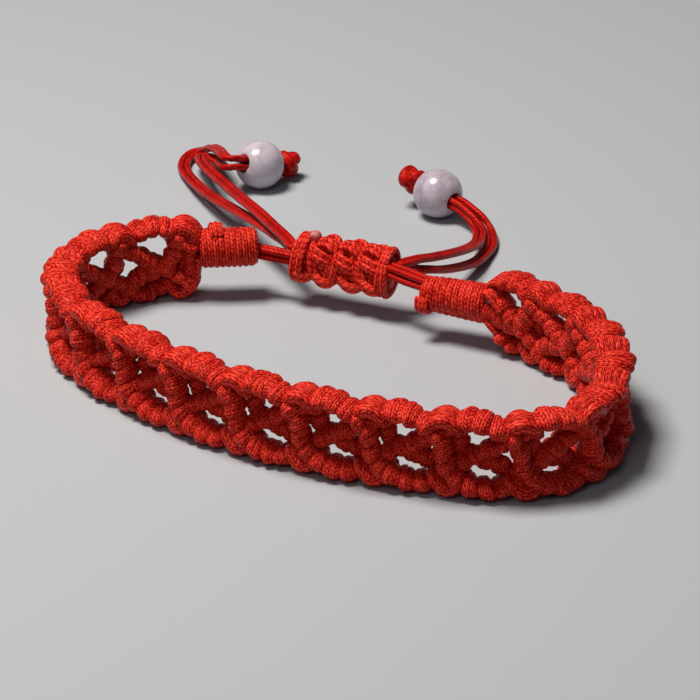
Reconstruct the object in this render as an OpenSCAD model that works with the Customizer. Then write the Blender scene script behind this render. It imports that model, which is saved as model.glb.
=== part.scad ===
/* [Band] */
// Length of the knotted band along its middle line
band_len = 139; // [135:1:143]
// Number of repeats of the open pattern along the band
units = 17; // [16:1:18]
// Height of the band, from its lower edge to its upper edge
band_h = 10; // [9.6:0.1:10.4]
// Thickness of the band, from front to back
band_t = 4.2; // [4:0.1:4.4]
// Width of each hitch-wound rib, seen from the front
rib_d = 2.1; // [2:0.05:2.2]
// How far a rib passes in front of or behind the middle of the band
rib_layer = 0.65; // [0.6:0.05:0.75]
// Width of each rear rib, seen from the front
rear_d = 2.3; // [2.1:0.05:2.4]

/* [Bindings] */
// Length of the left wound binding
left_binding_len = 6.7; // [6.5:0.1:7]
// Length of the right wound binding
right_binding_len = 8; // [7.8:0.1:8.2]
// Thickness of a binding where it takes in the band
binding_band_d = 4.8; // [4.6:0.1:5]
// Thickness of the left binding where the cords leave it
left_cord_end_d = 4.6; // [4.4:0.1:4.8]
// Thickness of the right binding where the cords leave it
right_cord_end_d = 4; // [3.8:0.1:4.2]
// Number of thread turns in a binding
binding_turns = 10; // [9:1:12]
// Size of the thread's finishing knot on a binding
finish_knot_d = 1.7; // [1.6:0.05:1.8]

/* [Sliding knot] */
// Length of the sliding knot
knot_len = 12.8; // [12.4:0.1:13]
// Number of half knots in it
half_knots = 5; // [5:1:6]
// Width of the knot from edge to edge
knot_w = 6.5; // [6.3:0.1:6.7]
// Thickness of the knot from front to back
knot_t = 4.4; // [4.2:0.1:4.6]
// How far the knot leans back, in degrees
knot_lean = 20; // [15:1:25]

/* [Cords and beads] */
// Thickness of one waxed strand
strand_d = 0.78; // [0.7:0.02:0.8]
// Thickness of the tube that stands for two strands of a tail
tail_d = 1; // [0.9:0.02:1]
// Diameter of a bead
bead_d = 6; // [6:0.1:6.2]
// Diameter of the hole through a bead
bead_bore_d = 2.1; // [2.1:0.05:2.3]
// Thickness of a stop knot
stop_knot_d = 3.3; // [3.2:0.05:3.3]

/* [Hidden] */

// Small gap between pieces that meet
gap = 0.05;
// Sides of a swept tube, and of the balls that blend with it
sides = 8;
// Sizes of the blocks that trim ends: near other pieces, and anywhere
trim = 14;
big = 20;

// Plan of the wrist loop as arcs, from the left end round the front to the right end:
// [length in mm, turn in degrees]
PLAN = [[23.5, 103.6], [11, 31], [34, 29], [19, 15], [15, 78], [26, 61], [10.5, 21.8]];
ARC_LEN = 0;
ARC_TURN = 1;
plan_start = [-24.88, 15.63];
plan_heading = -164.6;
plan_total = 139;
stretch = band_len / plan_total;
// Stations of the plan: [x, y, heading, distance walked, radius]
ST_X = 0;
ST_Y = 1;
ST_HEAD = 2;
ST_S = 3;
ST_R = 4;

function walk(i, x, y, h, s) = i == len(PLAN) ? [] :
    let (l = PLAN[i][ARC_LEN] * stretch, h2 = h + PLAN[i][ARC_TURN],
         r = l / PLAN[i][ARC_TURN] * 180 / PI)
    concat([[x, y, h, s, r]],
        walk(i + 1, x + r * (sin(h2) - sin(h)), y + r * (cos(h) - cos(h2)), h2, s + l));

stations = walk(0, plan_start[0], plan_start[1], plan_heading, 0);

// Point and heading on the middle line, s millimetres along the band
function plan_at(s) =
    let (i = max([for (k = [0 : len(stations) - 1]) if (k == 0 || s >= stations[k][ST_S]) k]),
         a = stations[i], h = a[ST_HEAD] + (s - a[ST_S]) / a[ST_R] * 180 / PI)
    [a[ST_X] + a[ST_R] * (sin(h) - sin(a[ST_HEAD])), a[ST_Y] + a[ST_R] * (cos(a[ST_HEAD]) - cos(h)), h];

// Unit vectors of the plan: along the band and out of the loop
function onward(h) = [cos(h), sin(h), 0];
function outward(h) = [sin(h), -cos(h), 0];
function unit(v) = v / norm(v);
function mix(a, b, t) = a + (b - a) * t;
function ease(t) = let (u = min(1, max(0, t))) u * u * (3 - 2 * u);

// Ribs: three cords cross from edge to edge, a third of their way apart. Their bare ends take up
// a little of the band's length, most of it at the left
ends_len = 1.3;
pitch = (band_len - ends_len) / units;
first_hole = 0.9 + pitch / 2;
ribs = 3;
rib_steps = 11;
rib_overrun = 40;
rib_mid = band_h / 2;
rib_swing = (band_h - rib_d) / 2;
// How far the lower arcs lag behind, and how far the crossings lean, as shares of a pitch
rib_lag = 0.26;
rib_hook = 0.27;

// Bindings take in the band's ends: heights of their middles, and how far and over what length the lower
// edge rises to the right one
left_end_z = 6.15;
right_end_z = 5.3;
end_rise = 3;
end_rise_len = 4.5;

function risen(z, s) = z + end_rise * ease(1 - (band_len - s) / end_rise_len) * (1 - z / band_h);

// A rib's middle line, from its turn t in degrees: [point, outward direction]
function rib_at(t, j) =
    let (u = ribs * t / 360 - rib_lag * (1 - cos(t)) / 2 + rib_hook * cos(t) * pow(sin(t), 2),
         s = first_hole + pitch * (u + j), p = plan_at(s))
    [[p[0], p[1], risen(rib_mid + rib_swing * cos(t), s)] + rib_layer * sin(t) * outward(p[2]), outward(p[2])];

// Half the rib's thickness from front to back: whole at the edges, and shared with the rib that it
// crosses in the middle
function rib_half(t) = band_t / 2 - rib_layer * pow(sin(t), 2);

// Ring of an oval tube: its middle, the way of the path, the direction its first corner faces, its
// radius that way and across it, and its sides
function ring(p, along, face, r, n) =
    let (b = unit(cross(along, face)), a = cross(b, along))
    [for (k = [0 : n - 1]) p + r[0] * cos(360 * k / n) * a + r[1] * sin(360 * k / n) * b];

function along_path(path, i) =
    unit(path[min(i + 1, len(path) - 1)] - path[max(i - 1, 0)]);

module tube(path, faces_to, r, n = sides) {
    last = len(path) - 1;
    points = [for (i = [0 : last]) each ring(path[i], along_path(path, i), faces_to[i], r[i], n)];
    walls = [for (i = [0 : last - 1], k = [0 : n - 1])
        let (a = i * n + k, b = i * n + (k + 1) % n)
        each [[a, a + n, b + n], [a, b + n, b]]];
    start = [for (k = [0 : n - 1]) k];
    end = [for (k = [n - 1 : -1 : 0]) last * n + k];
    polyhedron(points, concat(walls, [start, end]));
}

// Tube of one thickness
module round_tube(path, faces_to, d, n = sides) {
    tube(path, faces_to, [for (p = path) [d, d] / 2], n);
}

module rib(j) {
    turn_first = -360 * (j + 1) / ribs;
    turn_last = 360 * (units - j) / ribs + rib_overrun;
    count = round((turn_last - turn_first) / 360 * rib_steps);
    turns = [for (i = [0 : count]) mix(turn_first, turn_last, i / count)];
    line = [for (t = turns) rib_at(t, j)];
    tube([for (q = line) q[0]], [for (q = line) q[1]], [for (t = turns) [rib_half(t), rib_d / 2]]);
}

// Rear ribs, one behind each hole, from the upper edge on its left to the lower edge on its right: their
// middles after the hole's and half their length, in pitches, and how far back they lie
rear_mid = 0.12;
rear_reach = 0.42;
rear_layer = 1.15;
rear_sides = 5;
REAR_STEPS = [-1, -0.8, -0.5, 0.5, 0.8, 1];

// Height of a rear rib from -1 at its left end to 1 at its right: a gentle slope that bends at both ends
function rear_z(u) = 3.9 - 0.9 * u + 0.85 * pow(u, 4) - 2.55 * pow(u, 5);

module rear_rib(k) {
    line = [for (u = REAR_STEPS)
        let (s = first_hole + pitch * (k + rear_mid + rear_reach * u), p = plan_at(s))
        [[p[0], p[1], risen(rear_z(u), s)] - rear_layer * outward(p[2]), outward(p[2])]];
    tube([for (q = line) q[0]], [for (q = line) q[1]],
        [for (q = line) [band_t / 2 - rear_layer, rear_d / 2]], rear_sides);
}

loop_sides = 6;

// Edge loop between two arches, from one distance along the band to another
module edge_loop(s0, s1, z) {
    hull() for (s = [s0, s1]) {
        p = plan_at(s);
        translate([p[0], p[1], z]) rotate(p[2]) scale([1, band_t / rib_d, 1])
            sphere(d = rib_d, $fn = loop_sides);
    }
}

// Middle of the upper loops after a hole, half their length, and how much farther the lower loops lie,
// all in pitches
loop_mid = 0.62;
loop_half = 0.09;
loop_skew = 0.06;

// Wound bindings: where they start at the band, and the headings they run on
left_binding_heading = 29.5;
right_binding_heading = 180;

function end_point(s, z) = let (p = plan_at(s)) [p[0], p[1], z];

left_axis = onward(left_binding_heading);
right_axis = onward(right_binding_heading);
left_bound = end_point(0, left_end_z);
right_bound = end_point(band_len, right_end_z);
left_inner = left_bound + left_binding_len * left_axis;
right_inner = right_bound + right_binding_len * right_axis;
// Finishing knots of the thread: on top near the band, and low in front where the cords leave
left_finish = left_bound + 1.9 * left_axis + [0, 0, 2.3];
right_finish = right_inner - 0.5 * right_axis + [0, -1.1, -0.6];

// Stand a shape's +Z along a level direction from a point
module laid(p, axis) {
    translate(p) rotate([0, 90, atan2(axis[1], axis[0])]) children();
}

// Cut off what runs past a point along a level direction
module cut_beyond(p, axis) {
    translate(p) rotate(atan2(axis[1], axis[0])) translate([0, -trim / 2, -trim / 2]) cube(trim);
}

module knotted_band() {
    color("crimson") difference() {
        union() {
            for (j = [0 : ribs - 1]) rib(j);
            for (k = [0 : units - 1]) rear_rib(k);
            for (k = [-1 : units - 2]) {
                s = first_hole + pitch * (k + loop_mid);
                edge_loop(s - pitch * loop_half, s + pitch * loop_half, band_h - rib_d / 2);
                edge_loop(s + pitch * (loop_skew - loop_half), s + pitch * (loop_skew + loop_half),
                    rib_d / 2);
            }
        }
        cut_beyond(left_bound - gap * left_axis, left_axis);
        cut_beyond(right_bound - gap * right_axis, right_axis);
    }
}

module binding(long, cord_d) {
    turn = long / binding_turns;
    thread_rise = 0.12;
    function barrel(z) = mix(binding_band_d, cord_d, z / long) / 2;
    rotate_extrude($fn = 48) polygon(concat(
        [[0, 0]],
        [for (i = [0 : binding_turns - 1]) each [
            [barrel(i * turn) - thread_rise, i * turn],
            [barrel((i + 0.3) * turn), (i + 0.3) * turn],
            [barrel((i + 0.7) * turn), (i + 0.7) * turn]]],
        [[barrel(long) - thread_rise, long], [0, long]]));
}

module left_binding() {
    color("crimson") union() {
        laid(left_bound, left_axis) binding(left_binding_len, left_cord_end_d);
        translate(left_finish) sphere(d = finish_knot_d, $fn = 32);
    }
}

module right_binding() {
    color("crimson") union() {
        laid(right_bound, right_axis) binding(right_binding_len, right_cord_end_d);
        translate(right_finish) sphere(d = finish_knot_d, $fn = 32);
    }
}

// Sliding knot: its middle line lies level along X
knot_left = [-14.8, 19.75, 5.55];
knot_right = knot_left + [knot_len, 0, 0];
half_len = knot_len / half_knots;
knot_cord_d = 1.5;
knot_sides = 6;
knot_ring_steps = 5;

// Where the link cords leave the bindings and enter the knot, and the four strands of a link
left_link_out = left_inner + [0, 0, -0.6];
left_link_in = knot_left + [0, -1, 0.05];
right_link_out = right_inner + [0, 0, 1.1];
right_link_in = knot_right + [0, -1, 0.9];
STRANDS = [[-1, -1], [-1, 1], [1, -1], [1, 1]];

module link_cords(a, b, a_axis) {
    way = b - a;
    long = norm(way);
    lap = 1;
    color("crimson") difference() {
        translate(a) rotate([0, acos(way[2] / long), atan2(way[1], way[0])])
            translate([0, 0, -lap]) linear_extrude(long + 2 * lap) for (q = STRANDS)
                translate(q * strand_d / 2) circle(d = strand_d + 0.1, $fn = 32);
        cut_beyond(a + gap * a_axis, -a_axis);
        cut_beyond(b - gap * [sign(way[0]), 0, 0], [sign(way[0]), 0, 0]);
    }
}

module left_link_cords() {
    link_cords(left_link_out, left_link_in, left_axis);
}

module right_link_cords() {
    link_cords(right_link_out, right_link_in, right_axis);
}

// Points round the knot: turn 0 is its front and turn 90 its upper edge
function knot_point(x, turn, w, t) = [x, -t / 2 * cos(turn), w / 2 * sin(turn)];

// The two working cords pass from edge to edge, one over the front and one behind
module knot_cord(behind) {
    last = half_knots * knot_ring_steps;
    line = [for (i = [-1 : last + 1])
        let (tau = i / knot_ring_steps, turn = 90 * cos(180 * tau) + (behind ? 180 : 0))
        [tau * half_len, turn]];
    round_tube([for (q = line) knot_point(q[0], q[1], knot_w - knot_cord_d, knot_t - knot_cord_d)],
        [for (q = line) [0, -cos(q[1]), sin(q[1])]], knot_cord_d, knot_sides);
}

module knot_bump(x, side) {
    bump_d = 1.3;
    hull() for (z = [-0.5, 0.5])
        translate([x, side * (knot_t - bump_d) / 2, z]) sphere(d = bump_d, $fn = knot_sides);
}

module sliding_knot() {
    core_trim = 0.6;
    color("crimson") translate(knot_left) rotate([-knot_lean, 0, 0]) difference() {
        union() {
            hull() for (z = [-1, 1])
                translate([0, 0, z * (knot_w - knot_t) / 2]) rotate([0, 90, 0])
                    cylinder(d = knot_t - core_trim, h = knot_len, $fn = 12);
            for (behind = [false, true]) knot_cord(behind);
            for (i = [0 : half_knots - 1], side = [-1, 1]) knot_bump((i + 0.5) * half_len, side);
        }
        translate([gap - 2 * big, -big, -big]) cube(2 * big);
        translate([knot_len - gap, -big, -big]) cube(2 * big);
    }
}

// Beads: where they lie on the table, and which way the mouth of the hole faces
left_bead_at = [-32.9, 47.9, bead_d / 2];
right_bead_at = [-9.4, 48.9, bead_d / 2];
left_mouth = unit([-0.42, -0.85, 0.31]);
right_mouth = unit([0.93, -0.34, -0.12]);
// Side of the hole that the upper pair of strands takes
left_pair_side = unit([0.17, -0.41, -0.895]);
right_pair_side = unit([-0.34, -0.93, 0]);
pair_apart = 1.04;
stop_knot_face = bead_d / 2 - 0.05;
stop_knot_mid = stop_knot_face + 1.4;
// How far the left stop knot sits above the line of its hole
left_stop_lift = 0.45;

// Routes of the tails, from the sliding knot to the bead: [x, y, z]
LEFT_UPPER = [[-14.85, 20.6, 6.2], [-15.2, 20.6, 6.2], [-16.9, 22.2, 6.3], [-18.5, 23.6, 6.3],
    [-20.2, 25.3, 6.1], [-24, 29.2, 5.6], [-28.6, 33.7, 4.9], [-32.7, 38, 4.2], [-36.5, 42.1, 3.4],
    [-38.7, 44.7, 2.9], [-40.4, 47, 2.4], [-41.5, 48.8, 2], [-41.8, 50, 1.7], [-40.9, 50.1, 1.7],
    [-39.5, 48.8, 2.1], [-38.1, 47.2, 2.6], [-37, 45.7, 3], [-36.1, 44.5, 3.4], [-35.2, 43.9, 3.7]];
LEFT_LOWER = [[-14.85, 21.4, 5.3], [-15.2, 21.4, 5.3], [-17.9, 23.7, 5.2], [-19.4, 24.8, 5.1],
    [-21.4, 26.5, 4.9], [-24.8, 29.4, 4.3], [-29, 33.1, 3.4], [-33.2, 36.8, 2.5], [-37.6, 41.1, 1.6],
    [-40.9, 44.7, 1], [-43, 47.3, 0.7], [-44.1, 49.4, 0.6], [-44.5, 51.2, 0.7], [-44.3, 52.6, 0.8],
    [-43.5, 53.1, 1], [-42.4, 52.4, 1.7], [-41.1, 51, 2.7], [-39.8, 49.4, 3.4], [-38.4, 47.8, 3.9],
    [-37.3, 46.3, 4.3], [-36.4, 45.1, 4.6], [-35.4, 44.4, 4.7]];
RIGHT_UPPER = [[-1.9, 20.6, 6.6], [-1.5, 20.6, 6.6], [-0.9, 22.1, 6.4], [-0.5, 23.7, 6.1],
    [0, 25.9, 5.5], [0.5, 28.4, 4.9], [0.8, 31.9, 4], [0.7, 35.3, 3.1], [0.2, 38.5, 2.3],
    [-0.8, 41.6, 1.6], [-1.7, 43.8, 1.3], [-2.8, 45.3, 1.4], [-3.8, 46, 1.9]];
RIGHT_LOWER = [[-1.9, 21.3, 5.5], [-1.4, 21.3, 5.5], [-1.1, 22.7, 5.2], [-0.4, 23.7, 4.8],
    [0.3, 25.2, 4.3], [0.8, 27.4, 3.5], [1.1, 30, 2.7], [1.3, 32.9, 1.9], [1.4, 35.7, 1.3],
    [1.1, 38.5, 0.9], [0.6, 41.7, 0.6], [-0.2, 43.9, 0.6], [-1.2, 45.6, 0.7], [-2.1, 46.4, 1.1],
    [-3, 46.9, 1.7]];

// The straight stretch through a bead: distances along the hole, ending at the stop knot
THREAD = [4, 3.5, 0, 0.05 - stop_knot_face];

function threaded(route, bead, mouth, side) =
    concat(route, [for (d = THREAD) bead + d * mouth + pair_apart / 2 * side]);

module tail(route, bead, mouth, side) {
    line = threaded(route, bead, mouth, side);
    color("tomato") round_tube(line, [for (q = line) [0, 0, 1]], tail_d);
}

module left_tail_upper() {
    tail(LEFT_UPPER, left_bead_at, left_mouth, left_pair_side);
}

module left_tail_lower() {
    tail(LEFT_LOWER, left_bead_at, left_mouth, -left_pair_side);
}

module right_tail_upper() {
    tail(RIGHT_UPPER, right_bead_at, right_mouth, right_pair_side);
}

module right_tail_lower() {
    tail(RIGHT_LOWER, right_bead_at, right_mouth, -right_pair_side);
}

// Stand a shape's +Z along a bead's hole, towards its mouth
module threaded_at(p, mouth) {
    translate(p) rotate([0, acos(mouth[2]), atan2(mouth[1], mouth[0])]) children();
}

module bead() {
    color("lavender") difference() {
        sphere(d = bead_d, $fn = 64);
        translate([0, 0, -bead_d]) cylinder(d = bead_bore_d, h = 2 * bead_d, $fn = 48);
    }
}

module stop_knot() {
    color("tomato") difference() {
        translate([0, 0, -stop_knot_mid]) sphere(d = stop_knot_d, $fn = 48);
        translate([-big, -big, -stop_knot_face]) cube(2 * big);
    }
}

module left_bead() {
    threaded_at(left_bead_at, left_mouth) bead();
}

module right_bead() {
    threaded_at(right_bead_at, right_mouth) bead();
}

module left_stop_knot() {
    lift = left_stop_lift * unit([0, 0, 1] - left_mouth[2] * left_mouth);
    threaded_at(left_bead_at + lift, left_mouth) stop_knot();
}

module right_stop_knot() {
    threaded_at(right_bead_at, right_mouth) stop_knot();
}

knotted_band();
left_binding();
right_binding();
left_link_cords();
right_link_cords();
sliding_knot();
left_tail_upper();
left_tail_lower();
right_tail_upper();
right_tail_lower();
left_bead();
right_bead();
left_stop_knot();
right_stop_knot();
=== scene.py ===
"""Dress the knotted red string bracelet: hitched ribs, wound bindings, a sliding knot and beaded tails.

Every shape is worked out in millimetres, in the frame of the CAD model, and its mesh is written in metres.
"""

import logging
import math
from collections.abc import Callable
from dataclasses import dataclass, field
from enum import Enum

import bpy
import numpy as np
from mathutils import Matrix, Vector

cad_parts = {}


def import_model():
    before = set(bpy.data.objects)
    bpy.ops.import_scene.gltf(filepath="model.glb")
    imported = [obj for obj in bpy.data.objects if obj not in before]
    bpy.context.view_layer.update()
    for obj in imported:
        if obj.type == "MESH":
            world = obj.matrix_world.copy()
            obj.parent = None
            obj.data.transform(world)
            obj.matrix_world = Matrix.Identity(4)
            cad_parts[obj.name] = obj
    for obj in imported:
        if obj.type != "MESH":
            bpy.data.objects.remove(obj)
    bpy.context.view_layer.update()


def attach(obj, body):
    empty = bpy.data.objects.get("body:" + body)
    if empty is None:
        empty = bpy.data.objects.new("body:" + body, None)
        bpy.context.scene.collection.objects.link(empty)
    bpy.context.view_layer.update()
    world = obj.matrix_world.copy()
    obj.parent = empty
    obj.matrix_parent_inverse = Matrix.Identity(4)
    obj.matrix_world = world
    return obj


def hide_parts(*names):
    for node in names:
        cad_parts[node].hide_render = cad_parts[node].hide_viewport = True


MM = 0.001
ROOT = "root"
# One slanting yarn of the braid shows every this many millimetres along a cord
FLECK = 0.62
Array = np.ndarray
Colour = tuple[float, float, float, float]
Started = tuple[bpy.types.Material, bpy.types.NodeTree, bpy.types.Node]
log = logging.getLogger("bracelet")


class Ends(Enum):
    """How a swept surface ends."""

    CAPPED = "capped"
    JOINED = "joined"


class Slot(Enum):
    """Material slots."""

    BAND = "band_cord"
    BINDING = "binding_thread"
    CORD = "waxed_cord"
    BEAD = "bead_stone"


def linear(code: str) -> Colour:
    """Turn an sRGB hex colour to linear light.

    Each channel c is c / 12.92 up to 0.04045, and ((c + 0.055) / 1.055) to the power 2.4 above.

    Args:
        code: Six hex digits.

    Returns:
        Red, green, blue and an alpha of 1.
    """
    channels = [int(code[i:i + 2], 16) / 255 for i in (0, 2, 4)]
    return (*(c / 12.92 if c <= 0.04045 else ((c + 0.055) / 1.055) ** 2.4 for c in channels), 1.0)


def add_node(tree: bpy.types.NodeTree, kind: str, inputs: dict | None = None, **settings) -> bpy.types.Node:
    """Add one node with its settings, values and links.

    Args:
        tree: Node tree that takes the node.
        kind: Type of node, without the leading ShaderNode.
        inputs: Value or output socket for each input, by name or number.
        **settings: Properties of the node itself.

    Returns:
        The new node.
    """
    made = tree.nodes.new("ShaderNode" + kind)
    for key, value in settings.items():
        setattr(made, key, value)
    for key, value in (inputs or {}).items():
        if isinstance(value, bpy.types.NodeSocket):
            tree.links.new(value, made.inputs[key])
        else:
            made.inputs[key].default_value = value
    return made


def start_material(name: str, sockets: dict) -> Started:
    """Make a material with constants on its shader's own sockets.

    Args:
        name: Name of the material.
        sockets: Value for each input of the shader, by name.

    Returns:
        The material, its node tree and its shader.
    """
    made = bpy.data.materials.new(name)
    made.use_nodes = True
    shader = made.node_tree.nodes["Principled BSDF"]
    for socket, value in sockets.items():
        shader.inputs[socket].default_value = value
    return made, made.node_tree, shader


def unit(v: Array) -> Array:
    """Scale vectors to length 1."""
    v = np.asarray(v, float)
    return v / np.linalg.norm(v, axis=-1, keepdims=True)


def ease(t: Array) -> Array:
    """Rise smoothly from 0 to 1: t squared times (3 - 2 t), with t held between 0 and 1."""
    t = np.clip(t, 0.0, 1.0)
    return t * t * (3.0 - 2.0 * t)


def arc_lengths(line: Array) -> Array:
    """Give the distance walked to each point of a line."""
    return np.concatenate([[0.0], np.cumsum(np.linalg.norm(np.diff(line, axis=0), axis=1))])


def smooth_line(points: Array, step: float) -> Array:
    """Run a smooth curve through points and space new points evenly on it.

    Between two points the curve is a cubic Hermite piece over the square root of the chord, with each slope
    taken from the neighbours on both sides.

    Args:
        points: Points to pass through, one row each.
        step: Distance between the new points.

    Returns:
        Evenly spaced points from the first to the last.
    """
    points = np.asarray(points, float)
    knots = np.concatenate([[0.0], np.cumsum(np.sqrt(np.linalg.norm(np.diff(points, axis=0), axis=1)))])
    slopes = np.gradient(points, knots, axis=0)
    at = np.linspace(0.0, knots[-1], 60 * len(points))
    i = np.clip(np.searchsorted(knots, at, side="right") - 1, 0, len(points) - 2)
    wide = (knots[i + 1] - knots[i])[:, None]
    t = (at - knots[i])[:, None] / wide
    fine = ((2 * t ** 3 - 3 * t ** 2 + 1) * points[i] + (t ** 3 - 2 * t ** 2 + t) * wide * slopes[i]
            + (3 * t ** 2 - 2 * t ** 3) * points[i + 1] + (t ** 3 - t ** 2) * wide * slopes[i + 1])
    walked = arc_lengths(fine)
    even = np.linspace(0.0, walked[-1], max(4, round(walked[-1] / step) + 1))
    return np.stack([np.interp(even, walked, fine[:, axis]) for axis in range(3)], axis=1)


@dataclass
class Patch:
    """A grid surface that closes round its columns.

    Row i runs along the piece and column k round it. The map has one column more than the points, for the
    seam, and one row more where the last row joins the first.
    """

    points: Array
    uv: Array
    ends: Ends = Ends.CAPPED

    def corners(self) -> tuple[Array, Array, Array, Array]:
        """List the faces by corner.

        Square (i, k) has corners (i, k), (i, k+1), (i+1, k+1) and (i+1, k), which face outwards where the
        columns turn anticlockwise about the way of the rows. A capped end is a fan about its ring's middle.

        Returns:
            Vertices, corner list of the squares, of the fans, and the map at all corners.
        """
        rows, cols = self.points.shape[:2]
        joined = self.ends is Ends.JOINED
        i, k = np.meshgrid(np.arange(rows if joined else rows - 1), np.arange(cols), indexing="ij")
        after, beside = (i + 1) % rows, (k + 1) % cols
        near, far = i * cols, after * cols
        squares = np.stack([near + k, near + beside, far + beside, far + k], axis=-1)
        square_uv = np.stack(
            [self.uv[i, k], self.uv[i, k + 1], self.uv[i + 1, k + 1], self.uv[i + 1, k]], axis=2)
        vertices = self.points.reshape(-1, 3)
        if joined:
            return vertices, squares.reshape(-1, 4), np.zeros((0, 3), int), square_uv.reshape(-1, 2)
        k, last = np.arange(cols), (rows - 1) * cols
        beside, start = (k + 1) % cols, rows * cols
        poles = np.stack([self.points[0].mean(axis=0), self.points[-1].mean(axis=0)])
        fans = np.concatenate([
            np.stack([np.full(cols, start), beside, k], axis=-1),
            np.stack([np.full(cols, start + 1), last + k, last + beside], axis=-1)])
        fan_uv = np.concatenate([
            np.stack([self.uv[0, k], self.uv[0, k + 1], self.uv[0, k]], axis=1),
            np.stack([self.uv[-1, k], self.uv[-1, k], self.uv[-1, k + 1]], axis=1)])
        return (np.concatenate([vertices, poles]), squares.reshape(-1, 4), fans,
                np.concatenate([square_uv.reshape(-1, 2), fan_uv.reshape(-1, 2)]))


def build_piece(name: str, patches: list[Patch], finish: bpy.types.Material,
                stands_for: list[str]) -> bpy.types.Object:
    """Write patches into one mesh object that rides on the bracelet.

    Args:
        name: Name of the piece.
        patches: Surfaces of the piece, in millimetres.
        finish: Material of the whole piece.
        stands_for: CAD nodes that the piece replaces.

    Returns:
        The new object.
    """
    vertices, squares, fans, square_uv, fan_uv, base = [], [], [], [], [], 0
    for patch in patches:
        v, q, f, uv = patch.corners()
        vertices.append(v)
        squares.append(q + base)
        fans.append(f + base)
        square_uv.append(uv[:4 * len(q)])
        fan_uv.append(uv[4 * len(q):])
        base += len(v)
    points, squares, fans = np.concatenate(vertices) * MM, np.concatenate(squares), np.concatenate(fans)
    loops = np.concatenate([squares.ravel(), fans.ravel()])
    starts = np.concatenate([4 * np.arange(len(squares)), 4 * len(squares) + 3 * np.arange(len(fans))])
    mesh = bpy.data.meshes.new(name)
    mesh.vertices.add(len(points))
    mesh.vertices.foreach_set("co", points.astype(np.float32).ravel())
    mesh.loops.add(len(loops))
    mesh.loops.foreach_set("vertex_index", loops.astype(np.int32))
    mesh.polygons.add(len(starts))
    mesh.polygons.foreach_set("loop_start", starts.astype(np.int32))
    layer = mesh.uv_layers.new(name="thread")
    layer.data.foreach_set("uv", np.concatenate(square_uv + fan_uv).astype(np.float32).ravel())
    mesh.update(calc_edges=True)
    mesh.polygons.foreach_set("use_smooth", np.ones(len(starts), bool))
    mesh.materials.append(finish)
    piece = bpy.data.objects.new(name, mesh)
    bpy.context.scene.collection.objects.link(piece)
    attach(piece, ROOT)
    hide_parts(*stands_for)
    log.info("%s: %d triangles", name, 2 * len(squares) + len(fans))
    return piece


def sweep(line: Array, face: Array, radius: Array | float, sides: int = 12, threads: float = 2.0,
          ends: Ends = Ends.CAPPED) -> Patch:
    """Carry a round or scalloped profile along a line.

    With t the way of the line, b = t x face and a = b x t, point (i, k) is
    line[i] + radius[i, k] * (a cos w + b sin w), where w = 2 pi k / sides. The map's U counts flecks along
    the line and its V counts threads round it.

    Args:
        line: Middle line, one row each.
        face: Direction that the first column faces, one for all or one a row.
        radius: One radius, one a row, or one a point.
        sides: Number of columns.
        threads: Number of thread widths round the profile.
        ends: Whether the ends are capped or joined.

    Returns:
        The surface.
    """
    if ends is Ends.JOINED:
        along = unit(np.roll(line, -1, axis=0) - np.roll(line, 1, axis=0))
        walked = arc_lengths(np.concatenate([line, line[:1]]))
    else:
        along = unit(np.gradient(line, axis=0))
        walked = arc_lengths(line)
    b = unit(np.cross(along, face))
    a = np.cross(b, along)
    turn = 2 * np.pi * np.arange(sides) / sides
    radius = np.asarray(radius, float)
    radius = np.broadcast_to(radius[:, None] if radius.ndim == 1 else radius, (len(line), sides))
    around = np.cos(turn)[None, :, None] * a[:, None] + np.sin(turn)[None, :, None] * b[:, None]
    flecks = walked / FLECK
    if ends is Ends.JOINED:
        flecks = flecks * round(flecks[-1]) / flecks[-1]
    uv = np.stack(np.meshgrid(flecks, np.linspace(0.0, threads, sides + 1), indexing="ij"), axis=-1)
    return Patch(line[:, None] + radius[..., None] * around, uv, ends)


def oval(tall: float, wide: float, depth: float, threads: int, sides: int) -> Array:
    """Give the radii of an oval bundle of threads.

    At each turn w the radius is 1 / root((cos w / tall) squared + (sin w / wide) squared), less
    depth (1 - |sin(threads w / 2)|) between threads.

    Args:
        tall: Half size the way the first column faces.
        wide: Half size across it.
        depth: Depth of the groove between threads.
        threads: Number of threads round it.
        sides: Number of columns.

    Returns:
        One radius a column.
    """
    turn = 2 * np.pi * np.arange(sides) / sides
    round_it = 1.0 / np.sqrt((np.cos(turn) / tall) ** 2 + (np.sin(turn) / wide) ** 2)
    return round_it - depth * (1.0 - np.abs(np.sin(threads * turn / 2)))


def taper(count: int, ends: float, power: float = 0.5) -> Array:
    """Give shares that swell from `ends` at both ends to 1: ends + (1 - ends) sin(pi t) to a power."""
    return ends + (1.0 - ends) * np.sin(np.linspace(0.0, np.pi, count)).clip(0.0, 1.0) ** power


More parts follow.
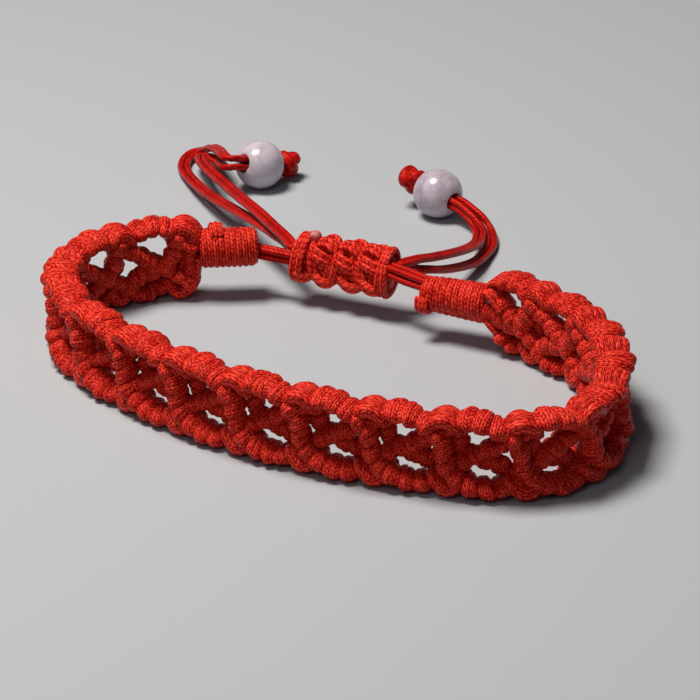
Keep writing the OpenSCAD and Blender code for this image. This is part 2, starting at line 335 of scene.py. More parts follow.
@dataclass(frozen=True)
class BraidedCord:
    """Waxed polyester cord, braided from dyed yarn.

    The yarns slant left and right in turn, so that each visible thread shows columns of short flecks. Their
    crests are painted lighter, as a painted highlight, and the grooves between them deep red, as painted
    shade.
    Wax gives the flecks a soft satin gloss, tinted by the dye under it.
    """

    name: str = "waxed_braided_polyester_cord"
    # Colour on the crests, a painted highlight; the yarn's own red on its slopes; and painted shade in the
    # grooves between yarns
    crest_highlight: str = "EC4230"
    slope: str = "B00B08"
    groove: str = "520203"
    gloss: str = "FF6A5C"
    gloss_level: float = 0.5
    roughness: float = 0.4
    # Height of a yarn over the groove beside it, in millimetres
    relief: float = 0.07
    # Columns of flecks on each thread, a fleck's slant across its column, and the step from column to column
    columns: int = 3
    lean: float = 0.7
    step: float = 0.37
    # Drift of the flecks, in flecks, over this many millimetres, and how much lighter or darker one may be
    drift: float = 1.4
    drift_over: float = 1.3
    uneven: float = 0.25

    def material(self) -> bpy.types.Material:
        """Make the material.

        With c = columns V, column n = floor c and share f = c - n, a fleck's phase is
        p = U +- lean f + step n, shifted by the drift, and its height is the root of
        (1 - (2 f - 1) squared)(1 - (2 frac p - 1) squared). The colour goes by the height and a random share
        for each fleck: painted shade at the bottom of the grooves, the yarn's own red on the slopes and a
        painted highlight on the crests.

        Returns:
            The new material.
        """
        made, tree, shader = start_material(self.name, {
            "Roughness": self.roughness, "Specular IOR Level": self.gloss_level,
            "Specular Tint": linear(self.gloss)})
        place = add_node(tree, "UVMap", uv_map="thread")
        axes = add_node(tree, "SeparateXYZ", {0: place.outputs[0]}).outputs
        count = float(self.columns)
        across = add_node(tree, "Math", {0: axes[1], 1: count}, operation="MULTIPLY").outputs[0]
        column = add_node(tree, "Math", {0: across}, operation="FLOOR").outputs[0]
        share = add_node(tree, "Math", {0: across}, operation="FRACT").outputs[0]
        odd = add_node(tree, "Math", {0: column, 1: 2.0}, operation="FLOORED_MODULO").outputs[0]
        way = add_node(tree, "Math", {0: odd, 1: 2.0 * self.lean, 2: -self.lean},
                       operation="MULTIPLY_ADD").outputs[0]
        body = add_node(tree, "TexCoord").outputs["Object"]
        drift = add_node(tree, "TexNoise", {"Vector": body, "Scale": 1 / (self.drift_over * MM),
                                            "Detail": 1.0}).outputs[0]
        shifted = add_node(tree, "Math", {0: drift, 1: self.drift, 2: axes[0]},
                           operation="MULTIPLY_ADD").outputs[0]
        slant = add_node(tree, "Math", {0: share, 1: way, 2: shifted}, operation="MULTIPLY_ADD").outputs[0]
        phase = add_node(tree, "Math", {0: column, 1: self.step, 2: slant},
                         operation="MULTIPLY_ADD").outputs[0]
        cell = add_node(tree, "Math", {0: phase}, operation="FLOOR").outputs[0]
        passed = add_node(tree, "Math", {0: phase}, operation="FRACT").outputs[0]
        domes = []
        for value in (share, passed):
            centred = add_node(tree, "Math", {0: value, 1: 2.0, 2: -1.0},
                               operation="MULTIPLY_ADD").outputs[0]
            squared = add_node(tree, "Math", {0: centred, 1: centred}, operation="MULTIPLY").outputs[0]
            domes.append(add_node(tree, "Math", {0: 1.0, 1: squared}, operation="SUBTRACT").outputs[0])
        both = add_node(tree, "Math", {0: domes[0], 1: domes[1]}, operation="MULTIPLY").outputs[0]
        height = add_node(tree, "Math", {0: both}, operation="SQRT").outputs[0]
        spot = add_node(tree, "CombineXYZ", {0: cell, 1: column}).outputs[0]
        chance = add_node(tree, "TexWhiteNoise", {"Vector": spot}, noise_dimensions="2D").outputs["Value"]
        uneven = add_node(tree, "Math", {0: chance, 1: 2.0 * self.uneven, 2: -self.uneven},
                          operation="MULTIPLY_ADD").outputs[0]
        painted_light_and_tone = add_node(tree, "Math", {0: height, 1: uneven}, operation="ADD").outputs[0]
        # Painted shade deep in the grooves, the yarn's own red on the slopes and a painted highlight on the
        # crests, each fleck a little lighter or darker at random
        ramp = add_node(tree, "ValToRGB", {0: painted_light_and_tone})
        marks = ramp.color_ramp.elements
        marks[0].position, marks[0].color = 0.0, linear(self.groove)
        marks[1].position, marks[1].color = 0.95, linear(self.crest_highlight)
        marks.new(0.48).color = linear(self.slope)
        bump = add_node(tree, "Bump", {"Height": height, "Distance": self.relief * MM, "Strength": 1.0})
        tree.links.new(ramp.outputs[0], shader.inputs["Base Color"])
        tree.links.new(bump.outputs[0], shader.inputs["Normal"])
        return made


@dataclass(frozen=True)
class ScorchedCordEnd:
    """Cord end sealed with a flame: the yarns melt to a smooth, pale, slightly dull drop."""

    name: str = "scorched_polyester_end"
    pale: str = "C4807C"
    red: str = "AC3C40"
    roughness: float = 0.5
    # Size of the blotches and their relief, in millimetres
    blotch: float = 0.4
    relief: float = 0.05

    def material(self) -> bpy.types.Material:
        """Make the material: two reds in blotches that are also a little raised.

        Returns:
            The new material.
        """
        made, tree, shader = start_material(self.name, {"Roughness": self.roughness})
        place = add_node(tree, "TexCoord").outputs["Object"]
        blotch = add_node(tree, "TexNoise", {"Vector": place, "Scale": 1 / (self.blotch * MM),
                                             "Detail": 2.0}).outputs[0]
        ramp = add_node(tree, "ValToRGB", {0: blotch})
        marks = ramp.color_ramp.elements
        marks[0].position, marks[0].color = 0.38, linear(self.red)
        marks[1].position, marks[1].color = 0.62, linear(self.pale)
        bump = add_node(tree, "Bump", {"Height": blotch, "Distance": self.relief * MM, "Strength": 0.6})
        tree.links.new(ramp.outputs[0], shader.inputs["Base Color"])
        tree.links.new(bump.outputs[0], shader.inputs["Normal"])
        return made


@dataclass(frozen=True)
class MilkyQuartz:
    """Milky quartz bead, tumbled and polished.

    Light soaks into the stone, so that it is pale all through with faint cloudy veins, under a soft gloss.
    """

    name: str = "polished_milky_quartz"
    milk: str = "C4BCC6"
    cloud: str = "A497A6"
    roughness: float = 0.26
    soak: float = 0.8
    # How far light goes in, and the sizes of the clouds and of the veins, in millimetres
    soak_depth: float = 1.2
    cloud_size: float = 3.0
    vein_size: float = 1.2
    vein_share: float = 0.45

    def material(self) -> bpy.types.Material:
        """Make the material: clouds, with a share of finer veins, and light scattered below the surface.

        Returns:
            The new material.
        """
        made, tree, shader = start_material(self.name, {
            "Roughness": self.roughness, "IOR": 1.54, "Subsurface Weight": self.soak,
            "Subsurface Radius": (1.0, 0.85, 0.9), "Subsurface Scale": self.soak_depth * MM,
            "Coat Weight": 0.15, "Coat Roughness": 0.12})
        place = add_node(tree, "TexCoord").outputs["Object"]
        clouds = add_node(tree, "TexNoise", {"Vector": place, "Scale": 1 / (self.cloud_size * MM),
                                             "Detail": 3.0, "Distortion": 1.2}).outputs[0]
        veins = add_node(tree, "TexNoise", {"Vector": place, "Scale": 1 / (self.vein_size * MM),
                                            "Detail": 4.0, "Distortion": 2.5}).outputs[0]
        mixed = add_node(tree, "Math", {0: veins, 1: self.vein_share, 2: clouds},
                         operation="MULTIPLY_ADD").outputs[0]
        ramp = add_node(tree, "ValToRGB", {0: mixed})
        marks = ramp.color_ramp.elements
        marks[0].position, marks[0].color = 0.55, linear(self.cloud)
        marks[1].position, marks[1].color = 0.85, linear(self.milk)
        tree.links.new(ramp.outputs[0], shader.inputs["Base Color"])
        return made


@dataclass
class WristPlan:
    """Plan of the wrist loop, from the left end of the band round the front to its right end."""

    start: tuple[float, float] = (-24.88, 15.63)
    heading: float = -164.6
    # Length and turn in degrees of each arc
    arcs: tuple = ((23.5, 103.6), (11, 31), (34, 29), (19, 15), (15, 78), (26, 61), (10.5, 21.8))
    length: float = field(init=False)

    def __post_init__(self) -> None:
        """Work out where each arc starts: its point, heading, distance walked and radius."""
        lengths, turns = (np.array(c, float) for c in zip(*self.arcs))
        turns = np.radians(turns)
        self.length = float(lengths.sum())
        self.heads = math.radians(self.heading) + np.concatenate([[0.0], np.cumsum(turns)])
        self.radii = lengths / turns
        self.walked = np.concatenate([[0.0], np.cumsum(lengths)])
        steps = self.radii[:, None] * np.stack([np.sin(self.heads[1:]) - np.sin(self.heads[:-1]),
                                                np.cos(self.heads[:-1]) - np.cos(self.heads[1:])], axis=1)
        self.corners = np.array(self.start) + np.concatenate([[[0.0, 0.0]], np.cumsum(steps, axis=0)])

    def at(self, s: Array) -> tuple[Array, Array]:
        """Find the middle line s millimetres along the band.

        On arc i, heading h = h_i + (s - s_i) / r_i and the point is
        p_i + r_i (sin h - sin h_i, cos h_i - cos h).

        Args:
            s: Distances along the band.

        Returns:
            Level points with z 0, and headings in radians.
        """
        i = np.clip(np.searchsorted(self.walked, s, side="right") - 1, 0, len(self.radii) - 1)
        first, r = self.heads[i], self.radii[i]
        head = first + (s - self.walked[i]) / r
        x = self.corners[i, 0] + r * (np.sin(head) - np.sin(first))
        y = self.corners[i, 1] + r * (np.cos(first) - np.cos(head))
        return np.stack([x, y, np.zeros_like(x)], axis=-1), head


def outward(head: Array) -> Array:
    """Give the level direction out of the loop for a heading."""
    return np.stack([np.sin(head), -np.cos(head), np.zeros_like(head)], axis=-1)


@dataclass
class KnottedBand:
    """The openwork band: three ribs wound with hitches, rear ribs behind its holes, and edge loops.

    Bare strands run from its ends into the bindings, and an upright cord closes its left end.
    """

    plan: WristPlan
    finish: bpy.types.Material
    # Repeats of the pattern, the length that they leave over, and where the first one starts
    units: int = 17
    ends: float = 1.3
    first: float = 0.9
    # Size from edge to edge and from face to face
    height: float = 10.0
    thickness: float = 4.2
    # Ribs: number, width, swing between the faces, and the lag and hook of their slant in pitches
    ribs: int = 3
    rib: float = 2.1
    layer: float = 0.65
    lag: float = 0.26
    hook: float = 0.27
    # How far and over what length the lower edge rises to the right binding
    end_rise: float = 3.0
    end_rise_len: float = 4.5
    # Heights of the bindings' middle lines at the left and the right end
    end_heights: tuple[float, float] = (6.15, 5.3)
    # Width of one hitch wrap along a rib, and where the bare strands take over from the hitches
    wrap: float = 0.86
    bare: float = 1.7
    # In pitches from each hole: the upper edge loop, how much further on the lower one is, the middle of the
    # rear rib and its reach to each side
    loop_mid: float = 0.62
    loop_skew: float = 0.06
    rear_mid: float = 0.12
    rear_reach: float = 0.42
    # Edge loops: reach along the band to each side, half width, how far their ends lie inside the edge, how
    # far they stand over the ribs, their width at the ends as a share, and their threads and grooves
    loop_reach: float = 1.9
    loop_half: float = 1.05
    loop_drop: float = 1.7
    loop_lift: float = 0.05
    loop_taper: float = 0.6
    loop_threads: int = 10
    loop_groove: float = 0.16
    # How far the rear ribs lie behind the middle of the band, and their width
    rear_layer: float = 1.15
    rear: float = 2.3
    # Upright cord at the left end: distance from the binding, half its height, its width, and how far it
    # stays inside the band's faces
    upright_at: float = 1.1
    upright_half: float = 3.4
    upright: float = 1.9
    upright_inset: float = 0.3
    # Share by which a hitch swells in its middle, and the depth of the groove between two wraps
    swell: float = 0.2
    groove: float = 0.13
    # Mean and spread of a wrap's tilt, of its size and of a hitch's lean, and the spread of its flattening
    wrap_tilt: tuple[float, float] = (0.2, 0.1)
    wrap_size: tuple[float, float] = (1.0, 0.035)
    hitch_lean: tuple[float, float] = (0.6, 0.7)
    wrap_flat: float = 0.035
    # Seeds of the small differences: the first rib's, the first rear rib's and the upright cord's
    rib_seed: int = 11
    rear_seed: int = 31
    upright_seed: int = 61
    # Bare strands: radius, and distance from one to the next
    bare_radius: float = 0.42
    bare_apart: float = 0.88

    @property
    def pitch(self) -> float:
        """Length of one repeat of the pattern."""
        return (self.plan.length - self.ends) / self.units

    def stations(self, turn: Array, j: int) -> Array:
        """Give the distance along the band at each turn of rib j.

        s = first + pitch (1/2 + j + ribs t / 2 pi - lag (1 - cos t) / 2 + hook cos t sin squared t).

        Args:
            turn: Turns of the rib in radians.
            j: Number of the rib.

        Returns:
            Distances from the left end.
        """
        shift = (self.ribs * turn / (2 * np.pi) - self.lag * (1 - np.cos(turn)) / 2
                 + self.hook * np.cos(turn) * np.sin(turn) ** 2)
        return self.first + self.pitch * (0.5 + shift + j)

    def risen(self, z: Array, s: Array) -> Array:
        """Raise heights near the right end by rise (1 - z / height) times an ease over the rise's length."""
        near = ease(1 - (self.plan.length - s) / self.end_rise_len)
        return z + self.end_rise * near * (1 - z / self.height)

    def line(self, turn: Array, j: int) -> tuple[Array, Array]:
        """Find rib j's middle line.

        The rib swings between the edges as cos t and between the faces as sin t.

        Args:
            turn: Turns of the rib in radians.
            j: Number of the rib.

        Returns:
            Points and the outward directions there.
        """
        s = self.stations(turn, j)
        point, head = self.plan.at(s)
        point[..., 2] = self.risen(self.height / 2 + (self.height - self.rib) / 2 * np.cos(turn), s)
        out = outward(head)
        return point + self.layer * np.sin(turn)[..., None] * out, out

    def half(self, turn: Array) -> Array:
        """Give half the rib's thickness from front to back: thickness / 2 - layer sin squared t."""
        return self.thickness / 2 - self.layer * np.sin(turn) ** 2

    def walk(self, j: int) -> tuple[Array, Array]:
        """Give rib j's turns, in steps of 1.5 degrees, and its stations there."""
        turn = np.radians(np.arange(-120.0 * (j + 1), 120.0 * (self.units - j) + 40.0, 1.5))
        return turn, self.stations(turn, j)

    def wind(self, line: Callable, half: Callable, width: float, steps: Array, span: slice, seed: int,
             sides: int = 36) -> Patch:
        """Wind a rib with hitches.

        Two wraps make a hitch. Over wrap phase p and hitch phase q the oval's half sizes are scaled by
        1 + swell (sin pi q - 0.64), where 0.64 is the mean of sin pi q, and lessened by
        groove (1 - root(1 - (2p - 1) squared)). Each wrap is a ring tilted along the rib, swollen and
        flattened by its own small amounts.

        Args:
            line: Gives points and outward directions of the rib's middle line from its own parameter.
            half: Gives half the rib's thickness from front to back from the parameter.
            width: Its width seen from the front.
            steps: Values of the parameter along the whole rib.
            span: Part of the steps over which it is wound.
            seed: Seed of the small differences between wraps.
            sides: Number of columns.

        Returns:
            The surface.
        """
        walked = arc_lengths(line(steps)[0])
        first, last = walked[span][0], walked[span][-1]
        wraps = 2 * round((last - first) / self.wrap / 2)
        phases = np.array([0.0, 0.1, 0.25, 0.5, 0.75, 0.9])
        rows = np.append((np.arange(wraps)[:, None] + phases).ravel(), wraps - 0.02)
        w = 2 * np.pi * np.arange(sides) / sides
        chance = np.random.default_rng(seed)
        number = np.minimum(rows.astype(int), wraps - 1)
        tilt = chance.normal(*self.wrap_tilt, wraps)[number]
        size = chance.normal(*self.wrap_size, wraps)[number]
        lean = chance.normal(*self.hitch_lean, wraps // 2)[number // 2]
        uneven = chance.normal(0.0, self.wrap_flat, wraps)[number, None]
        flat = uneven * np.cos(2 * w + chance.uniform(0.0, 6.0, wraps)[number, None])
        along = first + (last - first) * rows[:, None] / wraps + tilt[:, None] * np.cos(w - lean[:, None])
        at = np.interp(along.ravel(), walked, steps).reshape(along.shape)
        point, face = line(at)
        nudge = (steps[1] - steps[0]) / 2
        way = unit(line(at + nudge)[0] - line(at - nudge)[0])
        b = unit(np.cross(way, face))
        a = np.cross(b, way)
        p, q = rows % 1.0, (rows / 2) % 1.0
        dome = np.sqrt(np.clip(1 - (2 * p - 1) ** 2, 0, 1))
        scale = (size * (1 + self.swell * (np.sin(np.pi * q) - 0.64)))[:, None] + flat
        less = (self.groove * (1 - dome))[:, None]
        deep, wide = half(at) * scale - less, width / 2 * scale - less
        points = point + (deep * np.cos(w))[..., None] * a + (wide * np.sin(w))[..., None] * b
        flecks = round(np.pi * (width + self.thickness) / 2 / FLECK)
        u, v = np.meshgrid(np.linspace(0.0, flecks, sides + 1), rows)
        return Patch(points, np.stack([u, v], axis=-1))

    def hitched_rib(self, j: int) -> Patch:
        """Wind rib j between its bare ends.

        Args:
            j: Number of the rib.

        Returns:
            The surface.
        """
        turn, s = self.walk(j)
        hitched = np.flatnonzero((s > self.bare) & (s < self.plan.length - self.bare))
        return self.wind(lambda t: self.line(t, j), self.half, self.rib, turn,
                         slice(hitched[0], hitched[-1] + 1), self.rib_seed + j)

    def rear_line(self, u: Array, k: int) -> tuple[Array, Array]:
        """Find the middle line of the rear rib behind hole k.

        It lies at s = first + pitch (1/2 + k + middle + reach u) and at height
        3.9 - 0.9 u + 0.85 u to the power 4 - 2.55 u to the power 5, from the upper edge on its left to the
        lower edge on its right.

        Args:
            u: Places along it, from -1 to 1.
            k: Number of the hole.

        Returns:
            Points and the outward directions there.
        """
        s = self.first + self.pitch * (0.5 + k + self.rear_mid + self.rear_reach * u)
        point, head = self.plan.at(s)
        point[..., 2] = self.risen(3.9 - 0.9 * u + 0.85 * u ** 4 - 2.55 * u ** 5, s)
        return point - self.rear_layer * outward(head), outward(head)

    def rear_rib(self, k: int) -> Patch:
        """Wind the rear rib behind hole k.

        Args:
            k: Number of the hole.

        Returns:
            The surface.
        """
        return self.wind(lambda u: self.rear_line(u, k), lambda u: self.thickness / 2 - self.rear_layer,
                         self.rear, np.linspace(-1.0, 1.0, 160), slice(None), self.rear_seed + k, 24)

    def upright_line(self, u: Array) -> tuple[Array, Array]:
        """Find the middle line of the upright cord, at height height / 2 + half u.

        Args:
            u: Places along it, from -1 at its foot to 1 at its top.

        Returns:
            Points and the outward directions there.
        """
        point, head = self.plan.at(np.full_like(u, self.upright_at))
        point[..., 2] = self.height / 2 + self.upright_half * u
        return point, outward(head)

    def end_upright(self) -> Patch:
        """Wind the upright cord that closes the left end between the edges.

        Returns:
            The surface.
        """
        return self.wind(self.upright_line, lambda u: self.thickness / 2 - self.upright_inset, self.upright,
                         np.linspace(-1.0, 1.0, 100), slice(None), self.upright_seed, 24)

    def edge_loop(self, s: float, top: bool) -> Patch:
        """Shape the lobe of threads between two arches.

        The threads run along a crescent: with t from 0 to 1, the middle line is at s + reach (2 t - 1) and
        drop (1 - sin(pi t) to the power 0.8) inside the edge. Its oval profile, as deep as the band is
        thick, tapers to both ends.

        Args:
            s: Middle of the lobe along the band.
            top: Whether the lobe is on the upper edge.

        Returns:
            The surface.
        """
        count, sides = 22, 60
        t = np.linspace(0.0, 1.0, count)
        point, head = self.plan.at(s + self.loop_reach * (2 * t - 1))
        edge = self.height - self.rib / 2 + self.loop_lift
        level = edge - self.loop_drop * (1 - np.sin(np.pi * t) ** 0.8)
        point[:, 2] = level if top else self.height - level
        profile = oval(self.thickness / 2, self.loop_half, self.loop_groove, self.loop_threads, sides)
        radius = taper(count, self.loop_taper)[:, None] * profile
        return sweep(point, outward(head), radius, sides, float(self.loop_threads))

    def bare_strands(self, j: int) -> list[Patch]:
        """Run four bare strands of rib j from under its hitches into each binding.

        They follow the rib side by side, from its front to its back, from 1.2 mm under the hitches to
        0.75 mm from the band's end. They enter the binding's face at 0.85 of their height over its middle
        line, counted up to 1.5 mm, and stop 0.7 mm inside, drawn together to 0.75 of their spread and set
        0.25 mm up and down in turn.

        Args:
            j: Number of the rib.

        Returns:
            The strands.
        """
        turn, s = self.walk(j)
        strands = []
        for near, end, height in zip((s, self.plan.length - s), (0.0, self.plan.length), self.end_heights):
            order = np.argsort(near)
            at = np.interp((self.bare + 1.2, self.bare + 0.4, 0.75), near[order], turn[order])
            point, face = self.line(at, j)
            (middle, behind), _ = self.plan.at(np.array([end, end + (0.7 if end else -0.7)]))
            drop = np.clip(point[-1, 2] - height, -1.5, 1.5)
            into = np.stack([middle, behind]) + [0.0, 0.0, height + 0.85 * drop]
            for n in range(4):
                across = (n - 1.5) * self.bare_apart * face
                inside = into + 0.75 * across[-1] + [0.0, 0.0, 0.25 * (-1) ** n]
                line = smooth_line(np.concatenate([point + across, inside]), 0.2)
                strands.append(sweep(line, face[-1], self.bare_radius, 12))
        return strands

    def build(self) -> None:
        """Make the ribs, the rear ribs with the upright cord, the edge loops and the bare strands."""
        node = ["knotted_band"]
        for j in range(self.ribs):
            build_piece(f"hitched_rib_{j + 1}", [self.hitched_rib(j)], self.finish, node)
        rear = [self.rear_rib(k) for k in range(self.units)] + [self.end_upright()]
        build_piece("rear_ribs", rear, self.finish, node)
        loops = []
        for k in range(-1, self.units - 1):
            s = self.first + self.pitch * (0.5 + k + self.loop_mid)
            loops += [self.edge_loop(s, True), self.edge_loop(s + self.pitch * self.loop_skew, False)]
        build_piece("edge_loops", loops, self.finish, node)
        strands = [patch for j in range(self.ribs) for patch in self.bare_strands(j)]
        build_piece("bare_end_strands", strands, self.finish, node)


@dataclass
class Binding:
    """Thread wound round the cords at an end of the band, as one screw-shaped surface, and its knot.

    It starts at the band and runs level at its heading in degrees, from diameter band_d to cord_d.
    """

    name: str
    start: Array
    heading: float
    length: float
    cord_d: float
    # Finishing knot: distance along the binding, and direction from its middle line
    knot_at: float
    knot_way: Array
    finish: bpy.types.Material
    band_d: float = 4.8
    turns: int = 10
    # Depth of the groove between two turns, how far and over what length the ends are rounded in, and the
    # spread of the turns' sizes
    groove: float = 0.14
    rounding: float = 0.35
    rounding_over: float = 0.45
    uneven: float = 0.03
    # Radius of the finishing knot's thread
    thread: float = 0.34

    def __post_init__(self) -> None:
        """Work out the axis and the end of the binding."""
        turn = math.radians(self.heading)
        self.axis = np.array([math.cos(turn), math.sin(turn), 0.0])
        self.inner = self.start + self.length * self.axis

    def barrel(self, x: Array) -> Array:
        """Give the outer radius at distance x, from band_d / 2 at the band to cord_d / 2 at the cords."""
        return self.band_d / 2 + (self.cord_d - self.band_d) / 2 * x / self.length

    def surface(self) -> Patch:
        """Wind the thread.

        At distance x and turn w the radius is the barrel's less
        groove (1 - |sin(pi (turns x / length - w / 2 pi))|), a little uneven from turn to turn, and rounded
        over at both ends.

        Returns:
            The surface.
        """
        rows, sides = self.turns * 11 + 1, 56
        x = np.linspace(0.0, self.length, rows)
        w = 2 * np.pi * np.arange(sides + 1) / sides
        phase = x[:, None] * self.turns / self.length - w / (2 * np.pi)
        closing = self.rounding * (1 - ease(np.minimum(x, self.length - x) / self.rounding_over))
        turn_sizes = np.random.default_rng(self.turns).normal(0.0, self.uneven, self.turns + 2)
        uneven = turn_sizes[np.floor(phase).astype(int) + 1]
        arch = np.abs(np.sin(np.pi * phase))
        radius = (self.barrel(x) - closing)[:, None] - self.groove * (1 - arch) + uneven * arch
        # a x b points along the axis, so that the columns turn anticlockwise about it
        up = np.array([0.0, 0.0, 1.0])
        around = np.cos(w)[:-1, None] * up + np.sin(w)[:-1, None] * np.cross(self.axis, up)
        points = self.start + x[:, None, None] * self.axis + radius[:, :-1, None] * around
        flecks = round(np.pi * self.band_d / FLECK) * w / (2 * np.pi)
        return Patch(points, np.stack([np.broadcast_to(flecks, phase.shape), phase], axis=-1))

    def finishing_knot(self) -> list[Patch]:
        """Raise three short loops of thread side by side.

        With t from -1 to 1, loop n of -1, 0 and 1 turns by 0.55 t radians about the binding, and the middle
        of its thread stands (0.65 - 0.12 |n|) cos(pi t / 2) - 0.15 over it.

        Returns:
            The loops.
        """
        t = np.linspace(-1.0, 1.0, 25)
        way = unit(self.knot_way)
        side = np.cross(self.axis, way)
        loops = []
        for n in (-1, 0, 1):
            x = self.knot_at + 0.5 * n + 0.1 * t
            radius = self.barrel(x) - 0.15 + (0.65 - 0.12 * abs(n)) * np.cos(np.pi * t / 2)
            ring = np.cos(0.55 * t)[:, None] * way + np.sin(0.55 * t)[:, None] * side
            line = self.start + x[:, None] * self.axis + radius[:, None] * ring
            loops.append(sweep(line, ring, self.thread, 14))
        return loops

    def build(self) -> None:
        """Make the binding and its finishing knot."""
        patches = [self.surface()] + self.finishing_knot()
        build_piece(f"wound_{self.name}", patches, self.finish, [self.name])


@dataclass
class LinkCords:
    """The four strands between a binding and the sliding knot."""

    name: str
    start: Array
    end: Array
    finish: bpy.types.Material
    strand: float = 0.78
    # Share by which the strands bow out
    bow: float = 0.18

    def build(self) -> None:
        """Make the strands.

        They run 1 mm past both ends, in a square of four. With t from 0 to 1, strand n of 0 to 3 stands
        further out by the share bow (n mod 3) sin(pi t).
        """
        way = unit(self.end - self.start)
        side = unit(np.cross([0.0, 0.0, 1.0], way))
        up = np.cross(way, side)
        t = np.linspace(0.0, 1.0, 24)[:, None]
        line = (self.start - way) + t * (self.end - self.start + 2 * way)
        strands = []
        for n, (p, q) in enumerate([(-1, -1), (-1, 1), (1, -1), (1, 1)]):
            offset = self.strand / 2 * (p * side + q * up) * (1 + self.bow * (n % 3) * np.sin(np.pi * t))
            strands.append(sweep(line + offset, up, self.strand / 2, 14))
        build_piece(f"strands_{self.name}", strands, self.finish, [self.name])


@dataclass
class SlidingKnot:
    """The sliding knot: square half knots of doubled cord round the cords that pass through it."""

    start: Array
    cord_finish: bpy.types.Material
    end_finish: bpy.types.Material
    # Size along the cords, from edge to edge and from front to back, and its lean in degrees
    length: float = 12.8
    width: float = 6.5
    thickness: float = 4.4
    lean: float = 20.0
    # Size of a strand, and how much its radius swells in the knot
    strand: float = 0.78
    swell: float = 0.05
    # Distances along the knot at which the cords reach an edge, and of the loops that close its ends
    edges: tuple = (1.2, 4.2, 7.2, 10.4, 12.1)
    loops: tuple = (1.35, 12.15)
    # Humps of the half knots on each face: distance along the knot, turn in degrees and length
    humps: tuple = (
        (4.7, 48, 2.5), (7.5, 52, 2.4), (10.3, 57, 2.6), (3.8, 12, 2.1), (6.9, 7, 2.1), (10.1, 12, 2.6),
        (1.5, -52, 2.4), (4.5, -62, 2.1), (7.9, -62, 2.4), (10.6, -54, 2.4))
    # How far the crossing cords are sunk, the humps are raised, and the humps' ends dive
    sunk: float = 0.6
    raised: float = 0.04
    dive: float = 0.9
    # Half sizes of the core from front to back and from edge to edge
    core: tuple[float, float] = (1.4, 2.35)
    # Sealed cord end: its middle in the knot's own axes, the way it points, half its length and its radius
    drop_at: tuple[float, float, float] = (2.55, -0.45, 2.6)
    drop_way: tuple[float, float, float] = (1.0, -0.1, 0.2)
    drop_half: float = 0.85
    drop_radius: float = 0.72

    def placed(self, points: Array) -> Array:
        """Lean points back about X and move them to the knot's start.

        Args:
            points: Points in the knot's own axes.

        Returns:
            The same points on the bracelet.
        """
        c, s = math.cos(math.radians(self.lean)), math.sin(math.radians(self.lean))
        turn = np.array([[1, 0, 0], [0, c, s], [0, -s, c]])
        return self.start + points @ turn.T

    def around(self, x: Array, turn: Array, spare: Array | float = 0.0) -> Array:
        """Give points on the knot's oval, (x, -t cos turn, w sin turn).

        Half sizes t and w are the knot's, less half a strand, plus what is spare.

        Args:
            x: Distances along the knot.
            turn: Turns about it in radians, from its front.
            spare: How far the points stand over the oval.

        Returns:
            Points in the knot's own axes.
        """
        r = self.strand / 2
        t, w = self.thickness / 2 - r + spare, self.width / 2 - r + spare
        return np.stack([x + 0 * turn, -t * np.cos(turn), w * np.sin(turn)], axis=-1)

    def tube(self, x: Array, turn: Array, spare: Array | float, ends: Ends) -> Patch:
        """Carry one strand round the oval, with its seam facing away from the knot.

        Args:
            x: Distances along the knot.
            turn: Turns about it in radians, from its front.
            spare: How far the strand's line stands over the oval.
            ends: Whether the strand's ends are capped or joined.

        Returns:
            The strand.
        """
        line = self.placed(self.around(x, turn, spare))
        middle = self.placed(np.stack([x + 0 * turn, 0 * turn, 0 * turn], axis=-1))
        return sweep(line, unit(line - middle), self.strand / 2 + self.swell, 14, ends=ends)

    def crossing_cords(self) -> list[Patch]:
        """Run the cords under the humps.

        Between edges tau and tau + 1 each doubled cord goes from one edge to the other, at turn
        90 cos(180 tau) degrees on the front or behind, sunk under the surface.

        Returns:
            The strands.
        """
        tau = np.linspace(0.0, len(self.edges) - 1.0, 120)
        middle = np.interp(tau, np.arange(len(self.edges)), self.edges)
        strands = []
        for behind in (0.0, np.pi):
            turn = np.pi / 2 * np.cos(np.pi * tau) + behind
            for side in (-1, 1):
                strands.append(self.tube(middle + side * self.strand / 2, turn, -self.sunk, Ends.CAPPED))
        return strands

    def doubled_humps(self) -> list[Patch]:
        """Raise the humps of two strands side by side on both faces.

        With t from -1 to 1 a strand runs along the knot over the hump's length, slants by 0.15 t radians
        and lies dive (1 - root of cos(pi t / 2)) lower than its middle.

        Returns:
            The strands.
        """
        t = np.linspace(-1.0, 1.0, 25)
        spare = self.raised - self.dive * (1 - np.sqrt(np.cos(np.pi * t / 2).clip(0.0, 1.0)))
        strands = []
        for x, degrees, length in self.humps:
            turn = math.radians(degrees)
            reach = math.hypot(self.thickness / 2 * math.sin(turn), self.width / 2 * math.cos(turn))
            apart = self.strand / 2 / reach
            for behind in (0.0, np.pi):
                for side in (-1.05, 1.05):
                    at = turn + behind + side * apart - 0.15 * t
                    strands.append(self.tube(x + length / 2 * t, at, spare, Ends.CAPPED))
        return strands

    def end_loops(self) -> list[Patch]:
        """Close both ends with two strands once round the oval.

        At turn w a strand lies at x +- 0.4 + 0.3 sin w, at least 0.45 inside the knot's ends, and stands
        0.14 cos 2 w +- 0.04 - 0.1 over the oval.

        Returns:
            The strands.
        """
        turn = np.linspace(0.0, 2 * np.pi, 64, endpoint=False)
        loops = []
        for x in self.loops:
            for side in (-1, 1):
                at = np.clip(x + side * 0.4 + 0.3 * np.sin(turn), 0.45, self.length - 0.45)
                spare = 0.14 * np.cos(2 * turn) + 0.04 * side - 0.1
                loops.append(self.tube(at, turn, spare, Ends.JOINED))
        return loops

